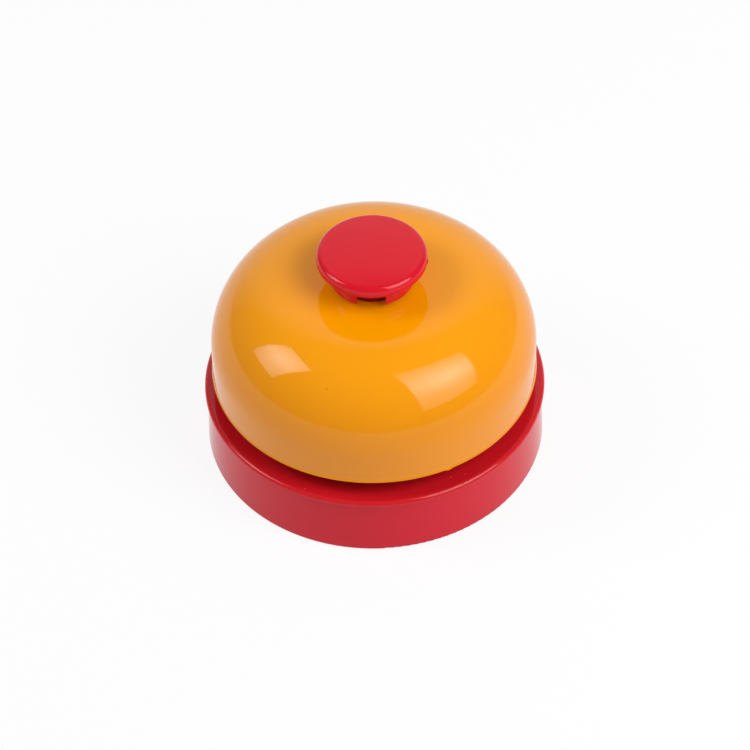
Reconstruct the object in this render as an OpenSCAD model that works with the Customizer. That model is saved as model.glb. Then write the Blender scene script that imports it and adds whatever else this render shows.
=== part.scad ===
// Pet training bell: a painted gong on a round moulded base. A push button drives
// a rod, the rod tips a rocker, and the hammer head on the rocker strikes the gong.
// Millimetres, +Z up, origin on the table under the middle of the base.

/* [Base] */
// Radius of the base wall just under the lip
base_r = 35.3; // [32:0.1:44]
// How much wider the wall is at its foot
wall_draft = 0.5; // [0:0.1:1]
// Height of the tray
tray_h = 13.3; // [10:0.1:18]
// Thickness of the tray wall
wall_t = 2; // [1.5:0.1:3]
// Thickness of the tray floor
floor_t = 2.4; // [2:0.1:3]
// Rounding of the tray's bottom edge
tray_round = 0.6; // [0.3:0.1:1.2]
// Thickness of the cover
cover_t = 2.2; // [1.6:0.1:3]
// Thickness of the cover's lip, whose edge is a full round
lip_t = 1.3; // [1:0.1:1.6]
// Overhang of the cover's lip beyond the wall
lip_over = 0.7; // [0.2:0.1:2]
// Depth of the ring that centres the cover in the tray
ring_h = 2; // [1:0.1:3]
// Thickness of the centring ring
ring_t = 1.5; // [1:0.1:2]
// Gap between the centring ring and the tray wall
ring_clear = 0.2; // [0.1:0.05:0.4]

/* [Rubber feet] */
// Number of feet
foot_count = 4; // [3:1:6]
// Radius of a foot
foot_r = 4; // [3:0.1:5]
// Height of a foot
foot_h = 1.8; // [1.4:0.1:2]
// How far a foot stands below the tray
foot_proud = 0.3; // [0.2:0.1:1]
// Gap around a foot in its seat
foot_clear = 0.1; // [0.05:0.05:0.2]
// Bevel on a foot's lower edge
foot_bevel = 0.2; // [0.1:0.1:0.6]

/* [Screws] */
// Number of screws that hold the base together
base_screw_count = 4; // [3:1:6]
// Number of screws that hold the post
post_screw_count = 3; // [2:1:4]
// Radius of a screw's shank
screw_r = 1.25; // [1:0.05:1.5]
// Radius of a screw's head
screw_head_r = 2.5; // [2.2:0.1:3]
// Height of a screw's head
screw_head_h = 1.6; // [1.2:0.1:2]
// Gap around a screw's shank in a through hole
screw_clear = 0.2; // [0.1:0.05:0.3]
// Gap around a screw's head in its counterbore
head_clear = 0.4; // [0.2:0.1:0.6]
// Depth that a base screw's head is sunk below the tray's underside
head_sink = 1.2; // [0.6:0.1:2]
// Web under a base screw's head
screw_web = 2; // [1.5:0.1:3]
// Wall of the bosses around the screws
boss_wall = 1.4; // [1:0.1:2]
// Distance from the bosses and feet to the tray wall
boss_inset = 2; // [1:0.1:4]
// Thickness of the webs between the bosses and the tray wall
web_t = 1.6; // [1:0.1:2.4]
// Room beyond a screw's tip
screw_tip_room = 0.5; // [0.3:0.1:1]

/* [Gong] */
// Radius of the gong's wall
gong_r = 34.05; // [30:0.05:42]
// Thickness of the gong's sheet
gong_t = 0.8; // [0.6:0.05:1.2]
// Height of the gong from rim to crown
gong_h = 24.1; // [22:0.1:30]
// Radius of the gong's shoulder
shoulder_r = 17.2; // [12:0.1:19]
// Gap between the base's deck and the gong's rim
mouth_gap = 4.5; // [4.2:0.1:8]
// Gap around the post in the gong's hole
hole_clear = 0.15; // [0.05:0.05:0.3]
// Thickness of the washer under the gong
washer_t = 1; // [0.6:0.1:1.6]

/* [Push button] */
// Travel of the button
travel = 1.1; // [0.8:0.1:1.6]
// Room left under the skirt when the button is down
stop_room = 0.25; // [0.2:0.05:0.6]
// Height of the skirt
skirt_h = 4.95; // [4.4:0.05:7]
// Thickness of the skirt
skirt_t = 1.4; // [1:0.1:2]
// Gap between the skirt and the nut
skirt_room = 1.2; // [0.4:0.05:1.6]
// Number of notches in the skirt
notch_count = 3; // [2:1:4]
// Width of a notch
notch_w = 5.8; // [3:0.1:7]
// Direction that the first notch faces, from +X
notch_face = 268; // [0:1:359]
// How far the head stands out beyond the skirt
head_over = 2.65; // [1.5:0.05:4]
// Height of the head's rim
head_rim_h = 2.15; // [1.4:0.05:3]
// How far the rim leans in towards its upper edge
rim_draw = 0.55; // [0:0.05:1]
// Rounding of the head's upper edge
rim_round = 0.7; // [0.3:0.05:1]
// Rise of the head's crown above its edge
head_crown = 0.9; // [0.3:0.1:1.5]
// Length of the boss that carries the rod
rod_boss_h = 4.75; // [3:0.05:6]
// Depth that the head is hollow above the skirt
head_hollow = 0.4; // [0.2:0.1:1]
// Depth of the rod's seat above the hollow
rod_seat = 1.4; // [0.8:0.1:2]

/* [Plunger] */
// Radius of the rod
rod_r = 2; // [1.5:0.05:2.5]
// Running gap between the rod and its guide
rod_clear = 0.05; // [0.02:0.01:0.1]
// Length of the guide
guide_len = 3.4; // [2:0.1:4]
// Depth of the clip's groove in the rod
groove_depth = 0.4; // [0.2:0.05:0.6]
// Width of the clip's ring
clip_w = 1.8; // [1.2:0.1:2.4]
// Thickness of the clip
clip_t = 0.8; // [0.5:0.1:1.2]
// Gap of fitted pieces as drawn
fit_clear = 0.05; // [0.02:0.01:0.1]
// Width of the spring's wire
wire_d = 0.7; // [0.5:0.05:0.8]
// Gap between the spring and the rod
spring_room = 0.65; // [0.4:0.05:1]
// Gap between the spring and its pocket
pocket_room = 0.75; // [0.4:0.05:1.2]
// Turns of the spring
spring_turns = 4.5; // [3:0.5:5]

/* [Post] */
// Wall of the threaded spigot
spigot_wall = 0.9; // [0.8:0.1:1.6]
// Wall of the nut
nut_wall = 1.2; // [1:0.1:2]
// Height of the nut
nut_h = 2.6; // [1.8:0.1:3]
// Number of spanner slots in the nut
nut_slots = 4; // [2:1:6]
// Width of a spanner slot
nut_slot_w = 1.6; // [1:0.1:2]
// Depth of a spanner slot
nut_slot_h = 1; // [0.6:0.1:1.4]
// Length of spigot above the nut
spigot_proud = 0.4; // [0.2:0.1:0.8]
// Width of the shoulder that carries the gong
shoulder_w = 2.8; // [2:0.1:4]
// Height of the post's foot
post_foot_h = 4; // [3:0.1:5]
// Margin of the post's foot around the fork
post_foot_margin = 0.2; // [0.1:0.1:2]
// Distance from the edge of the post's foot to its screws
post_screw_inset = 3; // [2.8:0.1:3.4]
// Radius of the peg that centres the post on the deck
peg_r = 4.5; // [3:0.1:5]
// Thickness of the fork's cheeks
cheek_t = 2.2; // [1.6:0.1:3]
// Reach of the fork behind the rod
cheek_back = 6; // [5:0.1:8]
// Reach of the fork beyond the pivot
cheek_nose = 3; // [2.2:0.1:4]
// Room between the clip and the cheeks
slot_room = 0.6; // [0.4:0.1:1]
// Thickness of the bridge over the fork
bridge_t = 3; // [2:0.1:3.4]
// Rounding of the fork's upright edges
fork_round = 1.2; // [0.4:0.1:2]
// Thickness of the ribs that stay the fork's cheeks
rib_t = 2; // [1.2:0.1:3]
// Height of the ribs above the post's foot
rib_h = 9; // [4:0.5:12]
// Distance from the ribs to the edge of the post's foot
rib_inset = 1; // [0.5:0.1:2]

/* [Striker] */
// Height of the pivot above the deck
pivot_h = 15.9; // [14:0.1:17]
// Radius of the pivot pin
pin_r = 1; // [0.8:0.05:1.4]
// Radius of the rocker's hub
hub_r = 2.6; // [2.2:0.1:3]
// Room between the hub and the bridge above it
hub_room = 1.2; // [0.8:0.1:2]
// Room between the hub and the clip beside it
clip_room = 0.5; // [0.3:0.1:1]
// Gap between the hub and each cheek
hub_side = 0.3; // [0.2:0.05:0.5]
// Gap between the rod's tip and the rocker at rest
tip_gap = 0.05; // [0.03:0.01:0.1]
// Width of the rocker's arms
arm_w = 5; // [4:0.1:6]
// Thickness of the rocker's arms
arm_t = 2; // [1.6:0.1:3]
// Reach of the rocker beyond the rod
pad_reach = 2.5; // [1.5:0.1:4]
// Radius of the hammer head
head_r = 3.1; // [2.5:0.1:3.6]
// Length of the hammer head
head_len = 6; // [5:0.1:7]
// Radius of the hammer head's domed nose
nose_r = 3.6; // [3.4:0.1:5]
// Radius of the hammer head's shank
shank_r = 1.5; // [1:0.1:1.8]
// Length of the hammer head's shank
shank_len = 4; // [3:0.1:5]
// Wall of the rocker's socket around the shank
socket_wall = 1.1; // [0.8:0.1:1.5]
// Gap between the nose and the gong with the button held down
strike_gap = 0.35; // [0.2:0.05:1]
// Gap between the hammer head and the deck at rest
deck_gap = 1.2; // [0.6:0.1:2]

/* [Hidden] */
$fn = 96;
// Overlap of joined shapes, and overrun of cutting shapes
eps = 0.01;
over = 1;

// Levels of the base
lip_z = foot_proud + tray_h;
deck_z = lip_z + lip_t;
cover_z = deck_z - cover_t;
screw_seat_z = foot_proud + head_sink + screw_head_h;
boss_top_z = screw_seat_z + screw_web;

// Plan of the base
tray_in_r = base_r - wall_t;
tray_boss_r = screw_head_r + head_clear + boss_wall;
cover_boss_r = screw_r + boss_wall;
boss_pitch_r = tray_in_r - boss_inset - tray_boss_r;
foot_pitch_r = tray_in_r - boss_inset - foot_r;
lip_r = base_r + lip_over;

// Radii from the rod outwards
spring_in_r = rod_r + spring_room;
spring_mean_r = spring_in_r + wire_d / 2;
pocket_r = spring_in_r + wire_d + pocket_room;
rod_boss_r = spring_in_r + wire_d;
spigot_r = pocket_r + spigot_wall;
nut_r = spigot_r + nut_wall;
column_r = spigot_r + shoulder_w;
skirt_in_r = nut_r + skirt_room;
skirt_r = skirt_in_r + skirt_t;
button_r = skirt_r + head_over;

// Levels of the gong
rim_z = deck_z + mouth_gap;
crown_z = rim_z + gong_h;
shoulder_z = crown_z - gong_t - washer_t;

// Levels of the button and nut
nut_top_z = crown_z + nut_h;
spigot_top_z = nut_top_z + spigot_proud;
skirt_z = crown_z + travel + stop_room;
head_z = skirt_z + skirt_h;
head_edge_z = head_z + head_rim_h;
hollow_z = head_z + head_hollow;
rod_boss_z = hollow_z - rod_boss_h;
rod_top_z = hollow_z + rod_seat;

// Clip, fork and rocker
groove_r = rod_r - groove_depth;
clip_in_r = groove_r + fit_clear;
clip_r = clip_in_r + clip_w;
slot_w = 2 * (clip_r + slot_room);
fork_w = slot_w + 2 * cheek_t;
pivot_x = clip_r + clip_room + hub_r;
pivot_z = deck_z + pivot_h;
tip_z = pivot_z + tip_gap;
guide_z = pivot_z + hub_r + hub_room;
pocket_z = guide_z + guide_len;
clip_z = guide_z - fit_clear - clip_t;
cheek_x = pivot_x + cheek_nose;
post_foot_r = norm([cheek_x, fork_w / 2]) + post_foot_margin;
post_foot_z = deck_z + post_foot_h;
post_screw_pitch_r = post_foot_r - post_screw_inset;

// Hammer head: its nose's centre at rest, so that the nose stops short of the
// gong's wall when the travel has turned the rocker by the swing angle
swing = travel / pivot_x * 180 / PI;
nose_drop = pivot_h - head_r - deck_gap;
nose_reach = gong_r - gong_t - strike_gap - nose_r - pivot_x;
nose_dx = (nose_reach - nose_drop * sin(swing)) / cos(swing);
rest_slope = atan2(nose_drop, nose_dx);
head_tip_u = norm([nose_dx, nose_drop]) + nose_r;
head_back_u = head_tip_u - head_len;
socket_r = shank_r + socket_wall;
socket_u = head_back_u - shank_len - socket_wall;

// Return spring between the pocket's floor and the rod boss
spring_lo_z = pocket_z + wire_d / 2 + fit_clear;
spring_hi_z = rod_boss_z - wire_d / 2 - fit_clear;
rings_per_turn = 8;
wire_sides = 6;
spring_rings = rings_per_turn * spring_turns;
function spring_angle(i) = 360 * i / rings_per_turn;
function spring_z(i) = spring_lo_z + (spring_hi_z - spring_lo_z) * i / spring_rings;
function spring_ring(i) = [
    for (k = [0 : wire_sides - 1])
        let (a = 360 * k / wire_sides, r = spring_mean_r + wire_d / 2 * cos(a))
            [r * cos(spring_angle(i)), r * sin(spring_angle(i)), spring_z(i) + wire_d / 2 * sin(a)]
];
function spring_mid(i) =
    [spring_mean_r * cos(spring_angle(i)), spring_mean_r * sin(spring_angle(i)), spring_z(i)];
spring_least_gap = min([
    for (i = [0 : spring_rings], j = [0 : spring_rings])
        if (j - i >= rings_per_turn / 2) norm(spring_mid(i) - spring_mid(j)) - wire_d
]);
echo(spring_least_gap = spring_least_gap);

red = [0.78, 0.13, 0.17];
dark_red = [0.55, 0.08, 0.1];
gong_yellow = [0.96, 0.62, 0.05];
steel = [0.72, 0.73, 0.75];
brass = [0.78, 0.62, 0.3];

// Copies of a feature on a pitch circle
module around(count, pitch_r, start = 0) {
    for (i = [0 : count - 1])
        rotate(start + 360 * i / count)
            translate([pitch_r, 0, 0])
                children();
}

module at_base_screws() {
    around(base_screw_count, boss_pitch_r, 180 / base_screw_count) children();
}

module at_feet() {
    around(foot_count, foot_pitch_r) children();
}

module at_post_screws() {
    around(post_screw_count, post_screw_pitch_r, 90) children();
}

// The rocker's frame: origin on the pivot, +X along the outer arm
module at_pivot() {
    translate([pivot_x, 0, pivot_z]) children();
}

module along_arm(u) {
    at_pivot() rotate([0, rest_slope, 0]) translate([u, 0, 0]) rotate([0, 90, 0]) children();
}

module pivot_bar(r, length) {
    at_pivot() rotate([90, 0, 0]) cylinder(r = r, h = length, center = true);
}

// Pan-head screw with a cross recess, standing on its head
module screw(length) {
    recess_w = screw_r / 2;
    difference() {
        union() {
            cylinder(r = screw_head_r, h = screw_head_h);
            cylinder(r = screw_r, h = screw_head_h + length);
        }
        for (a = [0, 90])
            rotate(a)
                translate([-screw_r, -recess_w / 2, -eps])
                    cube([2 * screw_r, recess_w, screw_head_h / 2]);
    }
}

module tray_outline() {
    foot_edge_r = base_r + wall_draft;
    polygon([
        [0, 0],
        [foot_edge_r - tray_round, 0],
        [foot_edge_r, tray_round],
        [base_r, tray_h],
        [0, tray_h]
    ]);
    translate([foot_edge_r - tray_round, tray_round]) circle(r = tray_round);
}

module base_tray() {
    web_h = boss_top_z - foot_proud - floor_t + eps;
    color(red)
    difference() {
        union() {
            translate([0, 0, foot_proud])
                rotate_extrude()
                    difference() {
                        tray_outline();
                        translate([-eps, floor_t]) square([tray_in_r + eps, tray_h]);
                    }
            at_base_screws()
                translate([0, 0, foot_proud]) {
                    cylinder(r = tray_boss_r, h = boss_top_z - foot_proud);
                    translate([0, -web_t / 2, floor_t - eps])
                        cube([tray_in_r - boss_pitch_r + eps, web_t, web_h]);
                }
        }
        at_base_screws() {
            translate([0, 0, foot_proud - eps])
                cylinder(r = screw_head_r + head_clear, h = screw_seat_z - foot_proud + eps);
            cylinder(r = screw_r + screw_clear, h = boss_top_z + eps);
        }
        at_feet() cylinder(r = foot_r + foot_clear, h = foot_h);
    }
}

module base_cover() {
    lip_round = lip_t / 2;
    ring_r = tray_in_r - ring_clear;
    color(red)
    difference() {
        union() {
            translate([0, 0, lip_z])
                rotate_extrude() {
                    square([lip_r - lip_round, lip_t]);
                    translate([lip_r - lip_round, lip_round]) circle(r = lip_round);
                }
            translate([0, 0, cover_z]) cylinder(r = ring_r, h = lip_z - cover_z + eps);
            translate([0, 0, cover_z - ring_h])
                difference() {
                    cylinder(r = ring_r, h = ring_h + eps);
                    translate([0, 0, -eps]) cylinder(r = ring_r - ring_t, h = ring_h + eps);
                }
            at_base_screws()
                translate([0, 0, boss_top_z])
                    cylinder(r = cover_boss_r, h = cover_z - boss_top_z + eps);
        }
        at_base_screws()
            translate([0, 0, boss_top_z - eps])
                cylinder(r = screw_r + fit_clear, h = cover_z - boss_top_z - screw_tip_room);
        at_post_screws()
            translate([0, 0, cover_z - eps])
                cylinder(r = screw_r + screw_clear, h = cover_t + 2 * eps);
        translate([0, 0, cover_z - eps]) cylinder(r = peg_r + fit_clear, h = cover_t + 2 * eps);
    }
}

module base_screws() {
    color(steel)
    at_base_screws()
        translate([0, 0, screw_seat_z - screw_head_h])
            screw(cover_z - screw_seat_z - 2 * screw_tip_room);
}

module rubber_feet() {
    color([0.12, 0.12, 0.13])
    at_feet()
        rotate_extrude()
            polygon([
                [0, 0],
                [foot_r - foot_bevel, 0],
                [foot_r, foot_bevel],
                [foot_r, foot_h],
                [0, foot_h]
            ]);
}

// Block of the fork's plan, with upright edges rounded by the given radius
module fork_block(width, lo_z, hi_z, round_r) {
    length = cheek_back + cheek_x;
    translate([-cheek_back, -width / 2, lo_z])
        linear_extrude(hi_z - lo_z) {
            translate([round_r, 0]) square([length - 2 * round_r, width]);
            translate([0, round_r]) square([length, width - 2 * round_r]);
            for (x = [round_r, length - round_r], y = [round_r, width - round_r])
                translate([x, y]) circle(r = round_r);
        }
}

module fork_slot() {
    translate([-cheek_back - over, -slot_w / 2, post_foot_z])
        cube([cheek_back + cheek_x + 2 * over, slot_w, guide_z - post_foot_z]);
}

module fork_ribs() {
    rib_w = post_foot_r - rib_inset - fork_w / 2;
    for (side = [-90, 90])
        rotate(side)
            translate([fork_w / 2, rib_t / 2, post_foot_z - eps])
                rotate([90, 0, 0])
                    linear_extrude(rib_t)
                        polygon([[-eps, 0], [rib_w, 0], [rib_w, rib_t], [-eps, rib_h]]);
}

module bell_post() {
    color(dark_red)
    difference() {
        union() {
            translate([0, 0, cover_z]) cylinder(r = peg_r, h = cover_t + eps);
            translate([0, 0, deck_z]) cylinder(r = post_foot_r, h = post_foot_h);
            fork_block(fork_w, deck_z + eps, guide_z + bridge_t, fork_round);
            fork_ribs();
            translate([0, 0, guide_z]) cylinder(r = column_r, h = shoulder_z - guide_z);
            translate([0, 0, guide_z]) cylinder(r = spigot_r, h = spigot_top_z - guide_z);
        }
        fork_slot();
        translate([0, 0, guide_z - eps]) cylinder(r = rod_r + rod_clear, h = guide_len + 2 * eps);
        translate([0, 0, pocket_z]) cylinder(r = pocket_r, h = spigot_top_z - pocket_z + eps);
        pivot_bar(pin_r + fit_clear, fork_w + 2 * eps);
        at_post_screws()
            translate([0, 0, deck_z - eps])
                cylinder(r = screw_r + fit_clear, h = post_foot_h - screw_tip_room);
    }
}

module post_screws() {
    color(steel)
    at_post_screws()
        translate([0, 0, cover_z - screw_head_h])
            screw(cover_t + post_foot_h - 2 * screw_tip_room);
}

module gong_washer() {
    color([0.85, 0.83, 0.78])
    translate([0, 0, shoulder_z])
        difference() {
            cylinder(r = column_r, h = washer_t);
            translate([0, 0, -eps]) cylinder(r = spigot_r + fit_clear, h = washer_t + 2 * eps);
        }
}

// Filled half-section of the gong, drawn in by the given thickness
module gong_outline(inset) {
    arc_x = gong_r - shoulder_r;
    arc_z = crown_z - shoulder_r;
    foot_z = rim_z + gong_t / 2 - inset;
    translate([0, foot_z]) square([gong_r - inset, arc_z - foot_z]);
    translate([0, foot_z]) square([arc_x, crown_z - inset - foot_z]);
    intersection() {
        translate([arc_x, arc_z]) circle(r = shoulder_r - inset);
        translate([arc_x, arc_z]) square(shoulder_r);
    }
}

module gong() {
    color(gong_yellow)
    rotate_extrude()
        difference() {
            union() {
                difference() {
                    gong_outline(0);
                    gong_outline(gong_t);
                }
                translate([gong_r - gong_t / 2, rim_z + gong_t / 2]) circle(r = gong_t / 2);
            }
            square([spigot_r + hole_clear, crown_z + eps]);
        }
}

module gong_nut() {
    color(dark_red)
    translate([0, 0, crown_z])
        difference() {
            cylinder(r = nut_r, h = nut_h);
            translate([0, 0, -eps]) cylinder(r = spigot_r + fit_clear, h = nut_h + 2 * eps);
            around(nut_slots, spigot_r, 180 / nut_slots)
                translate([0, -nut_slot_w / 2, nut_h - nut_slot_h])
                    cube([nut_wall + over, nut_slot_w, nut_slot_h + eps]);
        }
}

module pivot_pin() {
    color(steel)
    pivot_bar(pin_r, fork_w);
}

module hammer_lever() {
    color([0.9, 0.9, 0.88])
    difference() {
        union() {
            pivot_bar(hub_r, slot_w - 2 * hub_side);
            translate([0, 0, pivot_z - arm_t])
                linear_extrude(arm_t) {
                    translate([arm_w / 2 - pad_reach, 0]) circle(d = arm_w);
                    translate([arm_w / 2 - pad_reach, -arm_w / 2])
                        square([pivot_x + pad_reach - arm_w / 2, arm_w]);
                }
            along_arm(0)
                translate([-arm_t / 2, -arm_w / 2, 0])
                    cube([arm_t, arm_w, socket_u + socket_wall]);
            along_arm(socket_u) cylinder(r = socket_r, h = head_back_u - socket_u);
        }
        pivot_bar(pin_r + fit_clear, slot_w);
        along_arm(head_back_u - shank_len) cylinder(r = shank_r + fit_clear, h = shank_len + eps);
    }
}

module hammer_head() {
    color(brass)
    along_arm(0)
        rotate_extrude() {
            translate([0, head_back_u - shank_len]) square([shank_r, shank_len + eps]);
            intersection() {
                translate([0, head_back_u]) square([head_r, head_len]);
                translate([0, head_tip_u - nose_r]) circle(r = nose_r);
            }
            translate([0, head_back_u]) square([head_r, head_len - nose_r]);
        }
}

// Half-section of the button's head: a leaning rim and a crown that run into a rounded edge
module head_outline() {
    rim_len = norm([rim_draw, head_rim_h]);
    edge_z = head_edge_z - rim_round;
    edge_r = button_r - (rim_round * rim_len + (head_rim_h - rim_round) * rim_draw) / head_rim_h;
    crown_r = (pow(edge_r, 2) + pow(head_crown, 2) + 2 * head_crown * rim_round) / (2 * head_crown);
    intersection() {
        translate([0, head_edge_z + head_crown - crown_r]) circle(r = crown_r);
        translate([0, head_z]) square([edge_r * crown_r / (crown_r - rim_round), head_rim_h + head_crown]);
    }
    polygon([
        [0, head_z],
        [button_r, head_z],
        [edge_r + rim_round * head_rim_h / rim_len, edge_z + rim_round * rim_draw / rim_len],
        [0, edge_z + rim_round * rim_draw / rim_len]
    ]);
    translate([edge_r, edge_z]) circle(r = rim_round);
}

module push_button() {
    color(red)
    difference() {
        union() {
            rotate_extrude() head_outline();
            translate([0, 0, skirt_z])
                difference() {
                    cylinder(r = skirt_r, h = skirt_h + eps);
                    translate([0, 0, -eps]) cylinder(r = skirt_in_r, h = skirt_h + eps);
                    for (i = [0 : notch_count - 1])
                        rotate(notch_face + 360 * i / notch_count)
                            translate([0, -notch_w / 2, -eps])
                                cube([skirt_r + over, notch_w, skirt_h + eps]);
                }
            translate([0, 0, rod_boss_z]) cylinder(r = rod_boss_r, h = rod_boss_h + eps);
        }
        translate([0, 0, head_z - eps])
            difference() {
                cylinder(r = skirt_in_r, h = head_hollow + eps);
                translate([0, 0, -eps]) cylinder(r = rod_boss_r, h = head_hollow + 3 * eps);
            }
        translate([0, 0, rod_boss_z - eps])
            cylinder(r = rod_r + fit_clear, h = rod_top_z - rod_boss_z + eps);
    }
}

module plunger_rod() {
    color(steel)
    difference() {
        rotate_extrude() {
            translate([0, tip_z + rod_r]) square([rod_r, rod_top_z - tip_z - rod_r]);
            intersection() {
                translate([0, tip_z + rod_r]) circle(r = rod_r);
                translate([0, tip_z]) square([rod_r, 2 * rod_r]);
            }
        }
        translate([0, 0, clip_z - fit_clear])
            difference() {
                cylinder(r = rod_r + over, h = clip_t + 2 * fit_clear);
                cylinder(r = groove_r, h = clip_t + 2 * fit_clear);
            }
    }
}

module retaining_clip() {
    color(steel)
    translate([0, 0, clip_z])
        difference() {
            cylinder(r = clip_r, h = clip_t);
            translate([0, 0, -eps]) cylinder(r = clip_in_r, h = clip_t + 2 * eps);
            translate([-clip_r - over, -clip_in_r, -eps])
                cube([clip_r + over, 2 * clip_in_r, clip_t + 2 * eps]);
        }
}

module return_spring() {
    points = [for (i = [0 : spring_rings]) each spring_ring(i)];
    sides = [
        for (i = [0 : spring_rings - 1], k = [0 : wire_sides - 1])
            let (
                a = i * wire_sides + k,
                b = i * wire_sides + (k + 1) % wire_sides
            )
                each [[a, b, b + wire_sides], [a, b + wire_sides, a + wire_sides]]
    ];
    first_cap = [for (k = [1 : wire_sides - 2]) [0, k + 1, k]];
    last = spring_rings * wire_sides;
    last_cap = [for (k = [1 : wire_sides - 2]) [last, last + k, last + k + 1]];
    color(steel)
    polyhedron(points = points, faces = concat(sides, first_cap, last_cap));
}

base_tray();
base_cover();
base_screws();
rubber_feet();
bell_post();
post_screws();
gong_washer();
gong();
gong_nut();
pivot_pin();
hammer_lever();
hammer_head();
push_button();
plunger_rod();
retaining_clip();
return_spring();
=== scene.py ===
"""Pet training bell: finish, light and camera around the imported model. Metres, +Z up."""
import math

import bmesh
import bpy
from mathutils import Matrix, Vector


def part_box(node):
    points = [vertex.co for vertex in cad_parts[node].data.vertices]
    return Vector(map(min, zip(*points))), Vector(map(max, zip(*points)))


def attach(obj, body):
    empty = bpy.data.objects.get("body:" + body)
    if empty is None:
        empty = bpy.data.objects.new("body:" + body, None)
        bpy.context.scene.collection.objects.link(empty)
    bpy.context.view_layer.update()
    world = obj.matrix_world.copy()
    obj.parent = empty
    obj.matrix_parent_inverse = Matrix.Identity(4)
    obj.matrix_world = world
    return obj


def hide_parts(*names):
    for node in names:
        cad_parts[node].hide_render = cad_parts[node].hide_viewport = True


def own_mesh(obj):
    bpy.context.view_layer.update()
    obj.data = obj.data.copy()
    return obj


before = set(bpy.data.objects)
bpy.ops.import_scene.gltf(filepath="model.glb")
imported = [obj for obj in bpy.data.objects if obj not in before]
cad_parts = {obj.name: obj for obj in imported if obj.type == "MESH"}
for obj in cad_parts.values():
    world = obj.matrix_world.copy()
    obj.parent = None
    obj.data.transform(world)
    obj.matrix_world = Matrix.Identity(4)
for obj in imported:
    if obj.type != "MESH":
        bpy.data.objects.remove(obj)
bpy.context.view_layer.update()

MM = 0.001

# Sizes read from the frame
gong_lo, gong_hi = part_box("gong")
button_lo, button_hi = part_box("push_button")
rod_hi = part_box("plunger_rod")[1]
spring_lo, spring_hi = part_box("return_spring")
feet_lo, feet_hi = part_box("rubber_feet")
cover_lo, cover_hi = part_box("base_cover")
base_screws_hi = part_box("base_screws")[1]
post_screws_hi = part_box("post_screws")[1]
GONG_R = gong_hi.x
GONG_RIM_Z = gong_lo.z
GONG_TOP_Z = gong_hi.z
BUTTON_R = button_hi.x
BUTTON_TOP_Z = button_hi.z
SKIRT_Z = button_lo.z
ROD_R = rod_hi.x
DECK_Z = cover_hi.z
# The CAD mesh of the round cover has facets, so its box isn't quite square
LIP_R = min(*cover_hi.xy, *-cover_lo.xy)

# Gong, with a bead along its rim and a burr on the bead
GONG_T = 0.8 * MM
SHOULDER_R = 17.2 * MM
GONG_HOLE_R = 5.15 * MM
GONG_EDGE_ROUND = GONG_T * 0.49
BEAD_H = 0.45 * MM
BEAD_PROUD = 0.24 * MM
BEAD_ROUND = 0.06 * MM
BEAD_BLEND = 0.3 * MM
BURR_ANGLE = math.radians(-65)
BURR_W = 1.6 * MM
BURR_H = 0.4 * MM
BURR_STEEPER_SIDE = 4

# Push button: notched skirt, head, boss for the rod, and the mark of the moulding gate
SKIRT_R = 8.8 * MM
SKIRT_IN_R = 7.4 * MM
SKIRT_H = 4.95 * MM
SKIRT_ROUND = 0.15 * MM
NOTCH_W = 5.8 * MM
NOTCH_COUNT = 3
NOTCH_FACE = math.radians(268)
HEAD_RIM_H = 2.28 * MM
HEAD_RIM_DRAW = 0.23 * MM
HEAD_RIM_ROUND = 1.27 * MM
HEAD_LOWER_ROUND = 0.2 * MM
HEAD_CROWN = 0.77 * MM
HEAD_HOLLOW = 0.4 * MM
ROD_BOSS_H = 4.75 * MM
ROD_BOSS_ROOT_ROUND = 0.3 * MM
ROD_BOSS_END_ROUND = 0.2 * MM
GATE = Vector((0.5, 1.0, 0.5)) * MM
GATE_TAPER = 0.7
GATE_PROUD = 0.12 * MM
GATE_LIFT = 0.3 * MM
GATE_ANGLE = math.radians(-8.5)

# Return spring
WIRE_R = 0.35 * MM
SPRING_TURNS = 4.5

# Base cover: lip, the neck under it, centring ring, screw bosses and holes
COVER_T = 2.2 * MM
LIP_T = 1.05 * MM
LIP_ROUND = 0.95 * MM
LIP_LOWER_ROUND = 0.1 * MM
NECK_R = 35.3 * MM
NECK_DEPTH = 1.3 * MM
RING_R = 33.1 * MM
RING_T = 1.5 * MM
RING_H = 2 * MM
PEG_HOLE_R = 4.55 * MM
SCREW_BOSS_R = 2.65 * MM
SCREW_HOLE_R = 1.45 * MM
TIP_ROOM = 0.5 * MM

# Screws, whose thread narrows at its end to a blunt point
SCREW_HEAD_R = 2.5 * MM
SCREW_HEAD_H = 1.6 * MM
SCREW_DOME_R = 4.2 * MM
SCREW_R = 1.25 * MM
THREAD_PITCH = 1.1 * MM
THREAD_DEPTH = 0.3 * MM
THREAD_STEEPNESS = 3
POINT_SHARE = 0.35
POINT_TURNS = 2
CROSS_W = 0.7 * MM
CROSS_LEN = 2.7 * MM
CROSS_DEPTH = 0.9 * MM
CROSS_SPREAD = 1.25
CROSS_ARMS = 4
BASE_SCREW_COUNT = 4
BASE_SCREW_START = math.pi / 4
BASE_PITCH_R = (base_screws_hi.x - SCREW_HEAD_R) * math.sqrt(2)
POST_SCREW_COUNT = 3
POST_SCREW_START = math.pi / 2
POST_PITCH_R = post_screws_hi.y - SCREW_HEAD_R

# Rubber feet, with round grip grooves underneath, a hair above the floor
FOOT_COUNT = 4
FOOT_R = 4 * MM
FOOT_EDGE_ROUND = 0.3 * MM
FOOT_TOP_ROUND = 0.1 * MM
GROOVE_RADII = (1.2 * MM, 2.4 * MM)
GROOVE_W = 0.35 * MM
GROOVE_DEPTH = 0.2 * MM
GROOVE_ROUND = 0.05 * MM
FLOOR_GAP = 0.001 * MM

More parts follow.
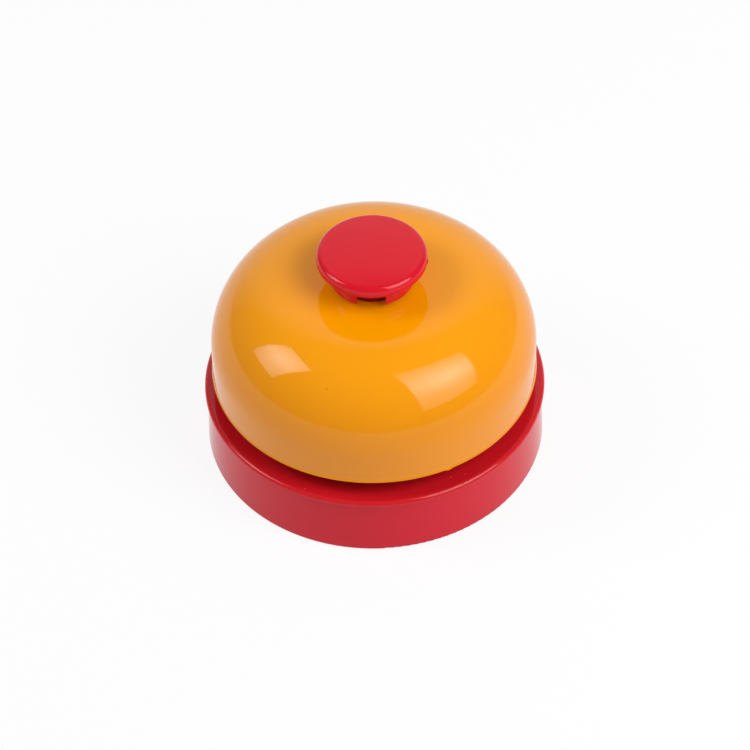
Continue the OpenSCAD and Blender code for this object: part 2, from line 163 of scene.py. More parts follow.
# Clearances, and how fine the meshes are
FIT = 0.05 * MM
ON_AXIS = 0.0001 * MM
SLIVER = 0.002 * MM
CRISP = math.radians(45)
ARC_STEP = math.radians(4)
GONG_ARC_STEP = math.radians(2.5)
CROWN_ARC_STEP = math.radians(0.7)
SCREW_ARC_STEP = math.radians(5)
FOOT_ARC_STEP = math.radians(15)
GONG_SEGMENTS = 384
HEAD_SEGMENTS = 192
COVER_SEGMENTS = 384
HOLE_SEGMENTS = 48
SCREW_SEGMENTS = 28
FOOT_SEGMENTS = 64
SKIRT_STEPS = 28
SKIRT_ROUND_STEPS = 3
THREAD_STEPS = 8
SPRING_STEPS = 32
WIRE_SIDES = 12

# Camera fitted to the photograph
AIM = Vector((0, 0, 20.4 * MM))
CAMERA_DISTANCE = 0.7
CAMERA_ELEVATION = math.radians(46.2)
CAMERA_ROLL = math.radians(-1.3)
CLIP_START = 0.01
SENSOR_W = 36
LENS = 159.5
SHIFT = (0.0011, -0.0222)

# White floor and backdrop: level of the paper, its own glow, and where it fades to the room's level
PAPER = 0.92
PAPER_GLOW = 0.88
ROOM = 0.3
FADE_UP = (1.15, 2.0)
FADE_OUT = (0.35, 1.4)
SWEEP_HALF_W = 1.6
SWEEP_FRONT = -1.6
SWEEP_BACK = 0.7
SWEEP_TOP = 2.1
COVE_R = 0.25
COVE_STEPS = 16

# Softboxes: distance, and the light's level at places from edge to edge
LAMP_DISTANCE = 0.6
RIGHT_GLOW = ((0, 0.2), (0.24, 0.36), (0.42, 0.97), (0.56, 1.0), (0.74, 0.62), (1.0, 0.14))
LEFT_GLOW = ((0, 0.4), (0.3, 0.6), (0.5, 0.95), (0.62, 1.0), (0.8, 0.8), (1.0, 0.5))
GLOW_ACROSS = ((0, 0.6), (0.3, 0.93), (0.5, 1.0), (0.7, 0.93), (1.0, 0.6))


# Materials

NOISE_SPAN = (0.3, 0.7)
TARNISH_SPAN = (0.4, 0.75)
TURNING_STRETCH = (1, 1, 12)
GLOSS_SPREAD = 0.04
SPECK_CORE = 0.6
MAP_SOCKETS = ("From Min", "From Max", "To Min", "To Max")


def srgb(red, green, blue):
    """Linear colour from 8-bit sRGB values."""
    def linear(value):
        share = value / 255
        return share / 12.92 if share <= 0.04045 else ((share + 0.055) / 1.055) ** 2.4
    return (linear(red), linear(green), linear(blue), 1.0)


class Paint:
    """A Principled material with helpers for its procedural inputs."""

    def __init__(self, name, **values):
        self.material = bpy.data.materials.new(name)
        self.material.use_nodes = True
        self.tree = self.material.node_tree
        self.shader = self.tree.nodes["Principled BSDF"]
        for socket, value in values.items():
            self.shader.inputs[socket.replace("_", " ")].default_value = value
        self.place = self.node("ShaderNodeTexCoord").outputs["Object"]

    def node(self, kind, **values):
        made = self.tree.nodes.new(kind)
        for socket, value in values.items():
            made.inputs[socket.replace("_", " ")].default_value = value
        return made

    def link(self, source, target):
        self.tree.links.new(source, target)

    def noise(self, size, detail=3.0, place=None):
        """Noise between 0 and 1 whose features are about that size."""
        texture = self.node("ShaderNodeTexNoise", Scale=1 / size, Detail=detail)
        self.link(place or self.place, texture.inputs["Vector"])
        return texture.outputs["Fac"]

    def ramp(self, fac, low, high, to_low=0.0, to_high=1.0):
        """fac mapped from low..high to to_low..to_high, and held there."""
        mapped = self.node("ShaderNodeMapRange")
        for socket, value in zip(MAP_SOCKETS, (low, high, to_low, to_high)):
            mapped.inputs[socket].default_value = value
        self.link(fac, mapped.inputs["Value"])
        return mapped.outputs["Result"]

    def mix(self, fac, first, second):
        """Colour from first to second by fac. The node's colour inputs are 6 and 7, its colour output 2."""
        mixed = self.node("ShaderNodeMix")
        mixed.data_type = "RGBA"
        self.link(fac, mixed.inputs["Factor"])
        for socket, value in ((mixed.inputs[6], first), (mixed.inputs[7], second)):
            if isinstance(value, bpy.types.NodeSocket):
                self.link(value, socket)
            else:
                socket.default_value = value
        return mixed.outputs[2]

    def specks(self, spacing, share, radius):
        """1 in small round specks, in that share of cells of that spacing, 0 elsewhere."""
        cells = self.node("ShaderNodeTexVoronoi", Scale=1 / spacing)
        self.link(self.place, cells.inputs["Vector"])
        reach = radius / spacing
        near = self.ramp(cells.outputs["Distance"], reach * SPECK_CORE, reach, 1.0, 0.0)
        pick = self.node("ShaderNodeSeparateColor")
        self.link(cells.outputs["Color"], pick.inputs["Color"])
        chosen = self.node("ShaderNodeMath")
        chosen.operation = "LESS_THAN"
        chosen.inputs[1].default_value = share
        self.link(pick.outputs[0], chosen.inputs[0])
        both = self.node("ShaderNodeMath")
        both.operation = "MULTIPLY"
        self.link(near, both.inputs[0])
        self.link(chosen.outputs[0], both.inputs[1])
        return both.outputs[0]

    def bump(self, height, depth):
        """Relief of that depth, on top of any earlier relief."""
        made = self.node("ShaderNodeBump", Strength=1.0, Distance=depth)
        self.link(height, made.inputs["Height"])
        normal = self.shader.inputs["Normal"]
        if normal.is_linked:
            self.link(normal.links[0].from_socket, made.inputs["Normal"])
        self.link(made.outputs["Normal"], normal)

    def colour(self, source):
        self.link(source, self.shader.inputs["Base Color"])

    def roughness(self, patch, smooth, dull):
        """Roughness that wanders from smooth to dull in patches of about that size."""
        self.link(self.ramp(self.noise(patch), *NOISE_SPAN, smooth, dull), self.shader.inputs["Roughness"])


def enamel(name):
    """Glossy yellow-orange stove enamel with faint orange peel and specks, and painted shade: darker
    towards the rim, in place of a dimmer reflection of the floor on the lower wall.
    """
    paint = Paint(name, IOR=1.4)
    axes = paint.node("ShaderNodeSeparateXYZ")
    paint.link(paint.place, axes.inputs[0])
    # Painted shade: the colour darkens from the crown down to mid-height and stays darker to the rim.
    painted_shade_fade = paint.ramp(axes.outputs["Z"], (GONG_RIM_Z + GONG_TOP_Z) / 2, GONG_TOP_Z)
    cloud = paint.noise(22 * MM)
    # Darker tone of the painted shade, used on the lower wall.
    painted_shade_tone = paint.mix(cloud, srgb(230, 140, 0), srgb(233, 144, 0))
    light = paint.mix(cloud, srgb(246, 156, 0), srgb(249, 160, 0))
    dust = paint.specks(spacing=5 * MM, share=0.1, radius=0.16 * MM)
    paint.colour(paint.mix(dust, paint.mix(painted_shade_fade, painted_shade_tone, light), srgb(176, 104, 6)))
    paint.roughness(patch=9 * MM, smooth=0.05, dull=0.07)
    paint.bump(paint.noise(3 * MM, detail=1.0), depth=0.003 * MM)
    paint.bump(dust, depth=0.02 * MM)
    return paint.material


def red_plastic(name, light, dark, gloss, ior, dusty):
    """Moulded red plastic with flow marks, faint sink marks and dust in the dusty share of cells."""
    paint = Paint(name, IOR=ior)
    flow = paint.mix(paint.noise(14 * MM), dark, light)
    dust = paint.specks(spacing=1.5 * MM, share=dusty, radius=0.15 * MM)
    paint.colour(paint.mix(dust, flow, srgb(226, 92, 96)))
    paint.roughness(patch=7 * MM, smooth=gloss, dull=gloss + GLOSS_SPREAD)
    paint.bump(paint.noise(6 * MM, detail=0.0), depth=0.006 * MM)
    return paint.material


def plated_steel(name):
    """Zinc plated steel with fine turning marks around the axis and dull patches."""
    paint = Paint(name, Metallic=1.0)
    stretch = paint.node("ShaderNodeMapping", Scale=TURNING_STRETCH)
    paint.link(paint.place, stretch.inputs["Vector"])
    lines = paint.noise(0.8 * MM, place=stretch.outputs["Vector"])
    paint.colour(paint.mix(lines, srgb(176, 178, 182), srgb(206, 208, 211)))
    paint.roughness(patch=1.5 * MM, smooth=0.24, dull=0.38)
    paint.bump(lines, depth=0.004 * MM)
    return paint.material


def turned_brass(name):
    """Turned brass, a little tarnished."""
    paint = Paint(name, Metallic=1.0)
    tarnish = paint.ramp(paint.noise(1.8 * MM), *TARNISH_SPAN)
    paint.colour(paint.mix(tarnish, srgb(206, 170, 92), srgb(160, 122, 62)))
    paint.roughness(patch=0.9 * MM, smooth=0.2, dull=0.34)
    paint.bump(paint.noise(0.4 * MM), depth=0.003 * MM)
    return paint.material


def foot_rubber(name):
    """Black rubber with a fine dull grain."""
    paint = Paint(name)
    paint.colour(paint.mix(paint.noise(1.2 * MM), srgb(26, 26, 28), srgb(40, 40, 42)))
    paint.roughness(patch=0.6 * MM, smooth=0.62, dull=0.8)
    paint.bump(paint.noise(0.25 * MM), depth=0.02 * MM)
    return paint.material


def pale_nylon(name, light, dark):
    """Natural nylon or acetal with cloudy depth."""
    paint = Paint(name, Subsurface_Weight=0.1, Subsurface_Scale=1 * MM)
    paint.colour(paint.mix(paint.noise(3 * MM), dark, light))
    paint.roughness(patch=1.2 * MM, smooth=0.36, dull=0.5)
    paint.bump(paint.noise(0.5 * MM), depth=0.004 * MM)
    return paint.material


TRAY_RED = red_plastic(
    "tray_red", light=srgb(207, 13, 40), dark=srgb(201, 11, 37), gloss=0.11, ior=1.33, dusty=0.01)
COVER_RED = red_plastic(
    "cover_red", light=srgb(208, 24, 35), dark=srgb(202, 22, 32), gloss=0.05, ior=1.36, dusty=0.18)
BUTTON_RED = red_plastic(
    "button_red", light=srgb(218, 12, 36), dark=srgb(213, 10, 33), gloss=0.08, ior=1.38, dusty=0.01)
# Red plastic made darker as painted shade, for the post and nut seen only in the shadow under the button.
INNER_SHADED_RED = red_plastic(
    "inner_shaded_red", light=srgb(152, 8, 18), dark=srgb(142, 7, 16), gloss=0.3, ior=1.33, dusty=0.01)
ENAMEL = enamel("gong_enamel")
STEEL = plated_steel("plated_steel")
BRASS = turned_brass("turned_brass")
RUBBER = foot_rubber("foot_rubber")
WASHER_NYLON = pale_nylon("washer_nylon", light=srgb(226, 221, 208), dark=srgb(214, 208, 194))
ROCKER_ACETAL = pale_nylon("rocker_acetal", light=srgb(232, 230, 222), dark=srgb(222, 219, 210))


# Outlines in the (r, z) half plane

def fillet(corners, step=ARC_STEP):
    """Outline through corners (r, z, rounding), with an arc at each corner that has a rounding."""
    points = []
    for i, (x, z, rounding) in enumerate(corners):
        here = Vector((x, z))
        if not rounding or i in (0, len(corners) - 1):
            points.append(here)
            continue
        back = (Vector(corners[i - 1][:2]) - here).normalized()
        ahead = (Vector(corners[i + 1][:2]) - here).normalized()
        half = back.angle(ahead) / 2
        tangent = rounding / math.tan(half)
        centre = here + (back + ahead).normalized() * rounding / math.sin(half)
        start = here + back * tangent - centre
        turn = math.pi - 2 * half
        sign = 1 if start.y * back.x - start.x * back.y > 0 else -1
        count = max(2, math.ceil(turn / step))
        for k in range(count + 1):
            a = sign * turn * k / count
            across = start.x * math.cos(a) - start.y * math.sin(a)
            up = start.x * math.sin(a) + start.y * math.cos(a)
            points.append(centre + Vector((across, up)))
    return points


def arc(centre, radius, first, last, step=ARC_STEP):
    """Points of an arc between two angles from +r."""
    count = max(2, math.ceil(abs(last - first) / step))
    turns = [first + (last - first) * k / count for k in range(count + 1)]
    return [Vector(centre) + radius * Vector((math.cos(a), math.sin(a))) for a in turns]


# Mesh helpers

def skin(mesh, loops):
    """Joins each loop of vertices to the next one with quads."""
    for one, two in zip(loops, loops[1:]):
        for k in range(len(one)):
            n = (k + 1) % len(one)
            mesh.faces.new((one[k], one[n], two[n], two[k]))


def lathe(outline, segments):
    """Bmesh of the outline turned about Z. A point on the axis becomes one vertex."""
    mesh = bmesh.new()
    turns = [2 * math.pi * k / segments for k in range(segments)]
    rings = []
    for x, z in outline:
        if x < ON_AXIS:
            rings.append([mesh.verts.new((0, 0, z))])
        else:
            rings.append([mesh.verts.new((x * math.cos(a), x * math.sin(a), z)) for a in turns])
    closed = len(rings[0]) > 1 and len(rings[-1]) > 1
    pairs = list(zip(rings, rings[1:])) + ([(rings[-1], rings[0])] if closed else [])
    for low, high in pairs:
        for k in range(segments):
            n = (k + 1) % segments
            corners = [low[k % len(low)], low[n % len(low)], high[n % len(high)], high[k % len(high)]]
            # A vertex on the axis is at two corners and counts once
            mesh.faces.new(list(dict.fromkeys(corners)))
    bmesh.ops.recalc_face_normals(mesh, faces=mesh.faces)
    return mesh


def prism(corners, low, high, spread=1.0):
    """Bmesh of a plan outline between two levels, widened by spread at the low one."""
    mesh = bmesh.new()
    bottom = [mesh.verts.new((x * spread, y * spread, low)) for x, y in corners]
    top = [mesh.verts.new((x, y, high)) for x, y in corners]
    mesh.faces.new(bottom[::-1])
    mesh.faces.new(top)
    skin(mesh, [bottom, top])
    bmesh.ops.recalc_face_normals(mesh, faces=mesh.faces)
    return mesh


def mesh_data(name, mesh):
    """Mesh data made from a bmesh, which is freed."""
    data = bpy.data.meshes.new(name)
    mesh.to_mesh(data)
    mesh.free()
    return data


def add_object(name, data):
    """Object with that data, linked to the scene."""
    made = bpy.data.objects.new(name, data)
    bpy.context.scene.collection.objects.link(made)
    return made


def combined(operation, first, *others):
    """One closed bmesh: the first with the others joined to it (UNION) or cut out of it (DIFFERENCE)."""
    operands = [add_object("operand", mesh_data("operand", mesh)) for mesh in (first, *others)]
    for other in operands[1:]:
        step = operands[0].modifiers.new("step", "BOOLEAN")
        step.operation = operation
        step.solver = "EXACT"
        step.object = other
    result = bmesh.new()
    result.from_object(operands[0], bpy.context.evaluated_depsgraph_get())
    bmesh.ops.dissolve_degenerate(result, dist=SLIVER, edges=result.edges)
    for operand in operands:
        bpy.data.meshes.remove(operand.data)
    return result


def copies(mesh, places):
    """Bmesh of the mesh repeated at each place, a matrix."""
    data = mesh_data("pattern", mesh)
    result = bmesh.new()
    for place in places:
        data.transform(place)
        result.from_mesh(data)
        data.transform(place.inverted())
    bpy.data.meshes.remove(data)
    return result


def around(count, pitch_r, start, z):
    """Matrices on a pitch circle, each turned to face outwards."""
    turns = [start + 2 * math.pi * k / count for k in range(count)]
    return [Matrix.Rotation(a, 4, "Z") @ Matrix.Translation((pitch_r, 0, z)) for a in turns]


def piece(name, mesh, material, body, slot, *nodes, sharp=32):
    """A piece that rides on a body and stands for CAD nodes. Edges over sharp degrees stay sharp."""
    bmesh.ops.recalc_face_normals(mesh, faces=mesh.faces)
    data = mesh_data(name, mesh)
    data.shade_smooth()
    data.set_sharp_from_angle(angle=math.radians(sharp))
    data.materials.append(material)
    made = add_object(name, data)
    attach(made, body)
    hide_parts(*nodes)
    return made


# Gong

def draw_burr(mesh):
    """Draws a short stretch of the gong's rim down into a burr, one side steeper than the other."""
    for vertex in mesh.verts:
        if vertex.co.z < GONG_RIM_Z + 2 * GONG_EDGE_ROUND:
            along = (math.atan2(vertex.co.y, vertex.co.x) - BURR_ANGLE) * GONG_R / BURR_W
            share = 1 - along if along > 0 else 1 + BURR_STEEPER_SIDE * along
            vertex.co.z -= BURR_H * max(0.0, share)


def make_gong():
    """Shell with a round shoulder, a hole in its crown, and a bead and a burr on its rim."""
    inner_r = GONG_R - GONG_T
    mesh = lathe(fillet([
        (GONG_HOLE_R, GONG_TOP_Z, 0),
        (GONG_R, GONG_TOP_Z, SHOULDER_R),
        (GONG_R, GONG_RIM_Z + BEAD_H, BEAD_BLEND),
        (GONG_R + BEAD_PROUD, GONG_RIM_Z, BEAD_ROUND),
        (inner_r, GONG_RIM_Z, GONG_EDGE_ROUND),
        (inner_r, GONG_TOP_Z - GONG_T, SHOULDER_R - GONG_T),
        (GONG_HOLE_R, GONG_TOP_Z - GONG_T, 0),
    ], GONG_ARC_STEP), GONG_SEGMENTS)
    draw_burr(mesh)
    piece("gong_shell", mesh, ENAMEL, "base", "gong_enamel", "gong")


# Push button

def skirt_segment(start):
    """Bmesh of one stretch of the skirt between two notches, with parallel notch walls."""
    mesh = bmesh.new()
    pitch = 2 * math.pi / NOTCH_COUNT
    levels = (SKIRT_Z, SKIRT_Z + SKIRT_H + HEAD_HOLLOW / 2)
    sections = []
    for k in range(SKIRT_STEPS + 1):
        corners = []
        for r in (SKIRT_R, SKIRT_IN_R):
            edge = math.asin(NOTCH_W / 2 / r)
            a = start + edge + (pitch - 2 * edge) * k / SKIRT_STEPS
            corners += [(r * math.cos(a), r * math.sin(a), z) for z in levels]
        sections.append([mesh.verts.new(corners[i]) for i in (0, 1, 3, 2)])
    skin(mesh, sections)
    mesh.faces.new(sections[0])
    mesh.faces.new(sections[-1][::-1])
    bmesh.ops.recalc_face_normals(mesh, faces=mesh.faces)
    crisp = [e for e in mesh.edges if e.calc_face_angle() > CRISP]
    lower = [e for e in crisp if min(v.co.z for v in e.verts) < SKIRT_Z + SKIRT_ROUND]
    bmesh.ops.bevel(
        mesh, geom=lower, offset=SKIRT_ROUND, segments=SKIRT_ROUND_STEPS, profile=0.5, affect="EDGES")
    return mesh


def head_outline():
    """Half section of the head: crown, rounded edge, leaning rim, and the boss that holds the rod."""
    head_z = SKIRT_Z + SKIRT_H
    hollow_z = head_z + HEAD_HOLLOW
    rim_len = math.hypot(HEAD_RIM_DRAW, HEAD_RIM_H)
    edge_z = head_z + HEAD_RIM_H - HEAD_RIM_ROUND
    edge_inset = (HEAD_RIM_ROUND * rim_len + (HEAD_RIM_H - HEAD_RIM_ROUND) * HEAD_RIM_DRAW) / HEAD_RIM_H
    edge_r = BUTTON_R - edge_inset
    sphere_r = (edge_r ** 2 + HEAD_CROWN ** 2 + 2 * HEAD_CROWN * HEAD_RIM_ROUND) / (2 * HEAD_CROWN)
    sphere_z = BUTTON_TOP_Z - sphere_r
    meet = math.atan2(edge_z - sphere_z, edge_r)
    lean = math.atan2(HEAD_RIM_DRAW, HEAD_RIM_H)
    crown = arc((0, sphere_z), sphere_r, math.pi / 2, meet, CROWN_ARC_STEP)
    edge = arc((edge_r, edge_z), HEAD_RIM_ROUND, meet, lean)
    boss_r = spring_hi.x
    boss_z = hollow_z - ROD_BOSS_H
    return [Vector((0, BUTTON_TOP_Z)), *crown[1:-1], *edge[:-1], *fillet([
        (*edge[-1], 0),
        (BUTTON_R, head_z, HEAD_LOWER_ROUND),
        (SKIRT_IN_R, head_z, 0),
        (SKIRT_IN_R, hollow_z, 0),
        (boss_r, hollow_z, ROD_BOSS_ROOT_ROUND),
        (boss_r, boss_z, ROD_BOSS_END_ROUND),
        (ROD_R + FIT, boss_z, 0),
        (ROD_R + FIT, rod_hi.z, 0),
        (0, rod_hi.z, 0),
    ])]


def gate_mark():
    """Bmesh of the nub that the moulding gate leaves on the rim's lower edge."""
    half = GATE.y / 2
    tip = half * GATE_TAPER
    low = SKIRT_Z + SKIRT_H + GATE_LIFT
    reach = BUTTON_R + GATE_PROUD
    root = reach - GATE.x
    mesh = prism([(root, -half), (reach, -tip), (reach, tip), (root, half)], low, low + GATE.z)
    bmesh.ops.rotate(mesh, verts=mesh.verts, matrix=Matrix.Rotation(GATE_ANGLE, 3, "Z"))
    return mesh


def make_button():
    """Head, stretches of skirt and gate mark in one mesh."""
    skirt = [skirt_segment(NOTCH_FACE + 2 * math.pi * k / NOTCH_COUNT) for k in range(NOTCH_COUNT)]
    mesh = combined("UNION", lathe(head_outline(), HEAD_SEGMENTS), *skirt, gate_mark())
    piece("push_button_cap", mesh, BUTTON_RED, "button", "button_plastic", "push_button")


# Return spring

def make_spring():
    """Round wire in place of the six-sided one."""
    mean_r = spring_hi.x - WIRE_R
    low = spring_lo.z + WIRE_R
    high = spring_hi.z - WIRE_R
    rings = int(SPRING_STEPS * SPRING_TURNS)
    mesh = bmesh.new()
    loops = []
    for i in range(rings + 1):
        turn = Matrix.Rotation(2 * math.pi * i / SPRING_STEPS, 4, "Z")
        z = low + (high - low) * i / rings
        loop = []
        for k in range(WIRE_SIDES):
            a = 2 * math.pi * k / WIRE_SIDES
            point = Vector((mean_r + WIRE_R * math.cos(a), 0, z + WIRE_R * math.sin(a)))
            loop.append(mesh.verts.new(turn @ point))
        loops.append(loop)
    skin(mesh, loops)
    mesh.faces.new(loops[0])
    mesh.faces.new(loops[-1])
    spring = piece("spring_coil", mesh, STEEL, "base", "steel", "return_spring", sharp=60)
    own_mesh(spring)


# Base

def make_cover():
    """Cover with a quarter-round lip, the ring that centres it, screw bosses and the holes for the post."""
    under_z = DECK_Z - COVER_T
    lip_z = DECK_Z - LIP_T
    neck_z = DECK_Z - NECK_DEPTH
    disc = lathe(fillet([
        (PEG_HOLE_R, DECK_Z, 0),
        (LIP_R, DECK_Z, LIP_ROUND),
        (LIP_R, lip_z, LIP_LOWER_ROUND),
        (NECK_R, lip_z, 0),
        (NECK_R, neck_z, 0),
        (RING_R, neck_z, 0),
        (RING_R, under_z - RING_H, 0),
        (RING_R - RING_T, under_z - RING_H, 0),
        (RING_R - RING_T, under_z, 0),
        (PEG_HOLE_R, under_z, 0),
    ]), COVER_SEGMENTS)
    bore_r = SCREW_R + FIT
    bore_z = under_z - TIP_ROOM
    boss = lathe([
        (0, under_z + FIT),
        (SCREW_BOSS_R, under_z + FIT),
        (SCREW_BOSS_R, cover_lo.z),
        (bore_r, cover_lo.z),
        (bore_r, bore_z),
        (0, bore_z),
    ], HOLE_SEGMENTS)
    hole = lathe([
        (0, under_z - FIT),
        (SCREW_HOLE_R, under_z - FIT),
        (SCREW_HOLE_R, DECK_Z + FIT),
        (0, DECK_Z + FIT),
    ], HOLE_SEGMENTS)
    bosses = copies(boss, around(BASE_SCREW_COUNT, BASE_PITCH_R, BASE_SCREW_START, 0))
    holes = copies(hole, around(POST_SCREW_COUNT, POST_PITCH_R, POST_SCREW_START, 0))
    mesh = combined("DIFFERENCE", combined("UNION", disc, bosses), holes)
    piece("base_cover_moulded", mesh, COVER_RED, "base", "red_plastic", "base_cover")


def screw_rows(length):
    """Rows up a screw that stands on its head: each one's level and its radius at every segment."""
    core_r = SCREW_R - THREAD_DEPTH
    dome_edge = -math.pi / 2 + math.asin(SCREW_HEAD_R / SCREW_DOME_R)
    dome = arc((0, SCREW_DOME_R), SCREW_DOME_R, -math.pi / 2, dome_edge, SCREW_ARC_STEP)
    dome_h = SCREW_DOME_R - math.sqrt(SCREW_DOME_R ** 2 - SCREW_HEAD_R ** 2)
    head = [*dome[1:], (SCREW_HEAD_R, (dome_h + SCREW_HEAD_H) / 2), (SCREW_HEAD_R, SCREW_HEAD_H),
            (core_r, SCREW_HEAD_H)]
    rows = [(z, [r] * SCREW_SEGMENTS) for r, z in head]
    count = int(length / THREAD_PITCH * THREAD_STEPS)
    for i in range(1, count + 1):
        up = length * i / count
        taper = min(1.0, POINT_SHARE + (length - up) / (POINT_TURNS * THREAD_PITCH))
        radii = []
        for k in range(SCREW_SEGMENTS):
            phase = (up / THREAD_PITCH - k / SCREW_SEGMENTS) % 1
            ridge = THREAD_DEPTH * max(0.0, 1 - abs(phase - 0.5) * THREAD_STEEPNESS)
            radii.append((core_r + ridge) * taper)
        rows.append((SCREW_HEAD_H + up, radii))
    return rows


def cross_recess():
    """Bmesh of the cross that is cut into a screw's head."""
    half = CROSS_W / 2
    reach = CROSS_LEN / 2
    arm = [(reach, -half), (reach, half), (half, half)]
    plan = []
    for _ in range(CROSS_ARMS):
        plan += arm
        arm = [(-y, x) for x, y in arm]
    return prism(plan, -FIT, CROSS_DEPTH, spread=CROSS_SPREAD)


def screw(length):
    """Bmesh of a pan-head screw on its head: domed head, cross recess, rolled thread and a short point."""
    mesh = bmesh.new()
    middle = mesh.verts.new((0, 0, 0))
    turns = [2 * math.pi * k / SCREW_SEGMENTS for k in range(SCREW_SEGMENTS)]
    rings = []
    for z, radii in screw_rows(length):
        rings.append([mesh.verts.new((r * math.cos(a), r * math.sin(a), z)) for r, a in zip(radii, turns)])
    for k in range(SCREW_SEGMENTS):
        mesh.faces.new((middle, rings[0][(k + 1) % SCREW_SEGMENTS], rings[0][k]))
    skin(mesh, rings)
    mesh.faces.new(rings[-1])
    bmesh.ops.recalc_face_normals(mesh, faces=mesh.faces)
    return combined("DIFFERENCE", mesh, cross_recess())


def make_screws(node, count, pitch_r, start):
    """All screws of a node, on their pitch circle."""
    low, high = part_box(node)
    places = around(count, pitch_r, start, low.z)
    mesh = copies(screw(high.z - low.z - SCREW_HEAD_H), places)
    piece(node + "_threaded", mesh, STEEL, "base", "steel", node, sharp=28)


def make_feet():
    """Rubber feet with a rounded edge and grip grooves underneath."""
    high = feet_hi.z - feet_lo.z - FLOOR_GAP
    outline = [(0, 0, 0)]
    for r in GROOVE_RADII:
        groove = [(r, 0), (r, GROOVE_DEPTH), (r + GROOVE_W, GROOVE_DEPTH), (r + GROOVE_W, 0)]
        outline += [(*corner, GROOVE_ROUND) for corner in groove]
    outline += [(FOOT_R, 0, FOOT_EDGE_ROUND), (FOOT_R, high, FOOT_TOP_ROUND), (0, high, 0)]
    foot = lathe(fillet(outline, FOOT_ARC_STEP), FOOT_SEGMENTS)
    mesh = copies(foot, around(FOOT_COUNT, feet_hi.x - FOOT_R, 0, feet_lo.z + FLOOR_GAP))
    piece("rubber_feet_grooved", mesh, RUBBER, "base", "rubber", "rubber_feet")


def dress(node, material):
    """Gives a CAD node its finish."""
    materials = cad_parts[node].data.materials
    materials.clear()
    materials.append(material)


make_gong()
make_button()
make_spring()
make_cover()
make_screws("base_screws", BASE_SCREW_COUNT, BASE_PITCH_R, BASE_SCREW_START)
make_screws("post_screws", POST_SCREW_COUNT, POST_PITCH_R, POST_SCREW_START)
make_feet()
for node in ("pivot_pin", "plunger_rod", "retaining_clip"):
    dress(node, STEEL)
# The post and nut get the darker red, which is painted shade.
for node in ("bell_post", "gong_nut"):
    dress(node, INNER_SHADED_RED)
dress("base_tray", TRAY_RED)
dress("gong_washer", WASHER_NYLON)
dress("hammer_lever", ROCKER_ACETAL)
dress("hammer_head", BRASS)


# Stage

def white_paper():
    """Paper that looks white to the camera and in reflections, and keeps a trace of the shadow.

    Up the backdrop, and outwards from the bell and the strip behind it, it fades to the room's level.
    """
    material = bpy.data.materials.new("white_paper")
    material.use_nodes = True
    tree = material.node_tree
    tree.nodes.clear()

    def add(kind, *sources, **settings):
        made = tree.nodes.new(kind)
        for name, value in settings.items():
            setattr(made, name, value)
        for source, socket in zip(sources, made.inputs):
            if source is not None:
                tree.links.new(source, socket)
        return made

    def fade(source, limits, level):
        made = add("ShaderNodeMapRange", source, interpolation_type="SMOOTHSTEP")
        for socket, value in zip(MAP_SOCKETS, (*limits, level, ROOM)):
            made.inputs[socket].default_value = value
        return made.outputs["Result"]

    place = add("ShaderNodeSeparateXYZ", add("ShaderNodeTexCoord").outputs["Object"])
    in_front = add("ShaderNodeMath", place.outputs["Y"], operation="MINIMUM")
    in_front.inputs[1].default_value = 0
    outwards = add("ShaderNodeCombineXYZ", place.outputs["X"], in_front.outputs[0])
    distance = add("ShaderNodeVectorMath", outwards.outputs[0], operation="LENGTH")
    paper = add("ShaderNodeBsdfDiffuse")
    paper.inputs["Color"].default_value = (PAPER, PAPER, PAPER, 1)
    glow = add("ShaderNodeEmission", None, fade(distance.outputs["Value"], FADE_OUT, 1.0))
    share = fade(place.outputs["Z"], FADE_UP, PAPER_GLOW)
    white = add("ShaderNodeMixShader", share, paper.outputs[0], glow.outputs[0])
    path = add("ShaderNodeLightPath")
    seen = path.outputs["Is Camera Ray"]
    for kind in ("Is Glossy Ray", "Is Transmission Ray"):
        seen = add("ShaderNodeMath", seen, path.outputs[kind], operation="MAXIMUM").outputs[0]
    surface = add("ShaderNodeMixShader", seen, paper.outputs[0], white.outputs[0])
    add("ShaderNodeOutputMaterial", surface.outputs[0])
    return material


def white_sweep():
    """White floor that curves up into a backdrop. It looks white, and keeps a soft shadow."""
    turns = [math.pi / 2 * k / COVE_STEPS for k in range(1, COVE_STEPS + 1)]
    cove = [(SWEEP_BACK + COVE_R * math.sin(a), COVE_R - COVE_R * math.cos(a)) for a in turns]
    outline = [(SWEEP_FRONT, 0), (SWEEP_BACK, 0), *cove, (SWEEP_BACK + COVE_R, SWEEP_TOP)]
    mesh = bmesh.new()
    left = [mesh.verts.new((-SWEEP_HALF_W, y, z)) for y, z in outline]
    right = [mesh.verts.new((SWEEP_HALF_W, y, z)) for y, z in outline]
    for k in range(len(outline) - 1):
        mesh.faces.new((left[k], right[k], right[k + 1], left[k + 1]))
    data = mesh_data("white_sweep", mesh)
    data.shade_smooth()
    data.materials.append(white_paper())
    sweep = add_object("white_sweep", data)


def dim_room():
    """The dim room beyond the backdrop."""
    world = bpy.data.worlds.new("dim_room")
    world.use_nodes = True
    world.node_tree.nodes["Background"].inputs["Color"].default_value = (ROOM, ROOM, ROOM, 1)
    bpy.context.scene.world = world


def glow_levels(tree, levels):
    """Colour ramp node that follows levels (place, level) smoothly."""
    glow = tree.nodes.new("ShaderNodeValToRGB")
    glow.color_ramp.interpolation = "B_SPLINE"
    stops = glow.color_ramp.elements
    while len(stops) < len(levels):
        stops.new(0.5)
    for stop, (place, level) in zip(stops, levels):
        stop.position = place
        stop.color = (level, level, level, 1)
    return glow


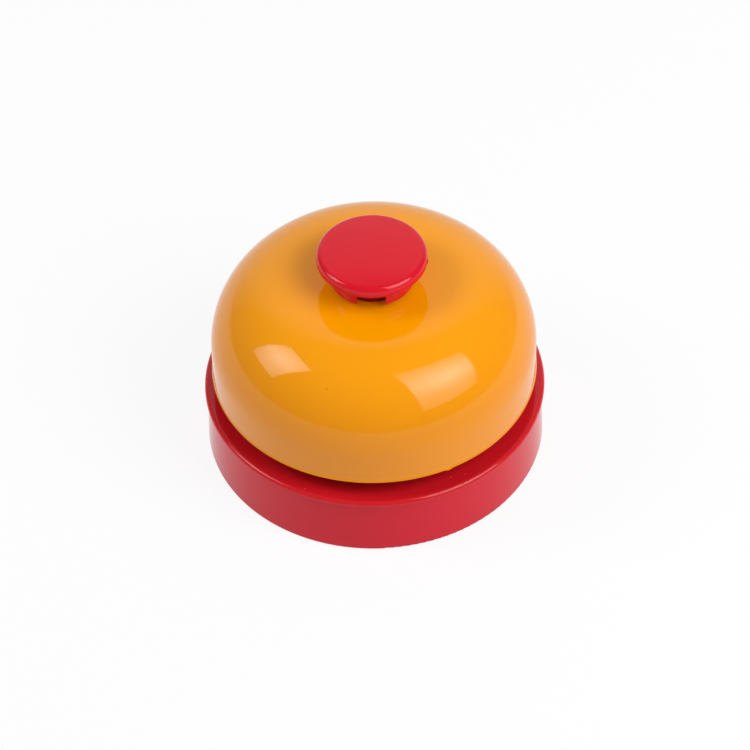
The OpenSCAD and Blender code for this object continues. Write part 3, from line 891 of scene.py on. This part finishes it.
def softbox(name, azimuth, elevation, size, power, turns, glow_up):
    """Area light that faces the bell and is then turned by pan, tilt and twist. All angles are in degrees.

    Azimuth 0 is behind the bell and 90 to its right. glow_up has the light's levels from the low edge up.
    """
    a = math.radians(azimuth)
    e = math.radians(elevation)
    away = Vector((math.sin(a) * math.cos(e), math.cos(a) * math.cos(e), math.sin(e)))
    lamp = bpy.data.lights.new(name, "AREA")
    lamp.shape = "RECTANGLE"
    lamp.size, lamp.size_y = size
    lamp.energy = power
    lamp.use_nodes = True
    tree = lamp.node_tree
    where = tree.nodes.new("ShaderNodeNewGeometry")
    split = tree.nodes.new("ShaderNodeSeparateXYZ")
    tree.links.new(where.outputs["Parametric"], split.inputs[0])
    product = tree.nodes.new("ShaderNodeMath")
    product.operation = "MULTIPLY"
    for factor, axis, levels in zip(product.inputs, "XY", (GLOW_ACROSS, glow_up)):
        glow = glow_levels(tree, levels)
        tree.links.new(split.outputs[axis], glow.inputs["Fac"])
        tree.links.new(glow.outputs["Color"], factor)
    tree.links.new(product.outputs[0], tree.nodes["Emission"].inputs["Strength"])
    turn = (-away).to_track_quat("-Z", "Y").to_matrix()
    for axis, angle in zip("YXZ", turns):
        turn = turn @ Matrix.Rotation(math.radians(angle), 3, axis)
    made = add_object(name, lamp)
    made.matrix_world = Matrix.Translation(AIM + away * LAMP_DISTANCE) @ turn.to_4x4()
    made.visible_camera = False


def make_camera():
    """Camera where the photograph was taken from."""
    data = bpy.data.cameras.new("camera")
    data.lens = LENS
    data.sensor_width = SENSOR_W
    data.shift_x, data.shift_y = SHIFT
    data.clip_start = CLIP_START
    forward = Vector((0, math.cos(CAMERA_ELEVATION), -math.sin(CAMERA_ELEVATION)))
    turn = forward.to_track_quat("-Z", "Y").to_matrix() @ Matrix.Rotation(CAMERA_ROLL, 3, "Z")
    camera = add_object("camera", data)
    camera.matrix_world = Matrix.Translation(AIM - forward * CAMERA_DISTANCE) @ turn.to_4x4()
    bpy.context.scene.camera = camera


white_sweep()
dim_room()
softbox("right_softbox", azimuth=117.3, elevation=43.2, size=(0.477, 0.566), power=6.7,
        turns=(-33.6, 2.5, -21.0), glow_up=RIGHT_GLOW)
softbox("left_softbox", azimuth=-92.9, elevation=40.8, size=(0.241, 0.385), power=2.1,
        turns=(0, 0, 0.4), glow_up=LEFT_GLOW)
make_camera()
bpy.context.scene.view_settings.view_transform = "Standard"
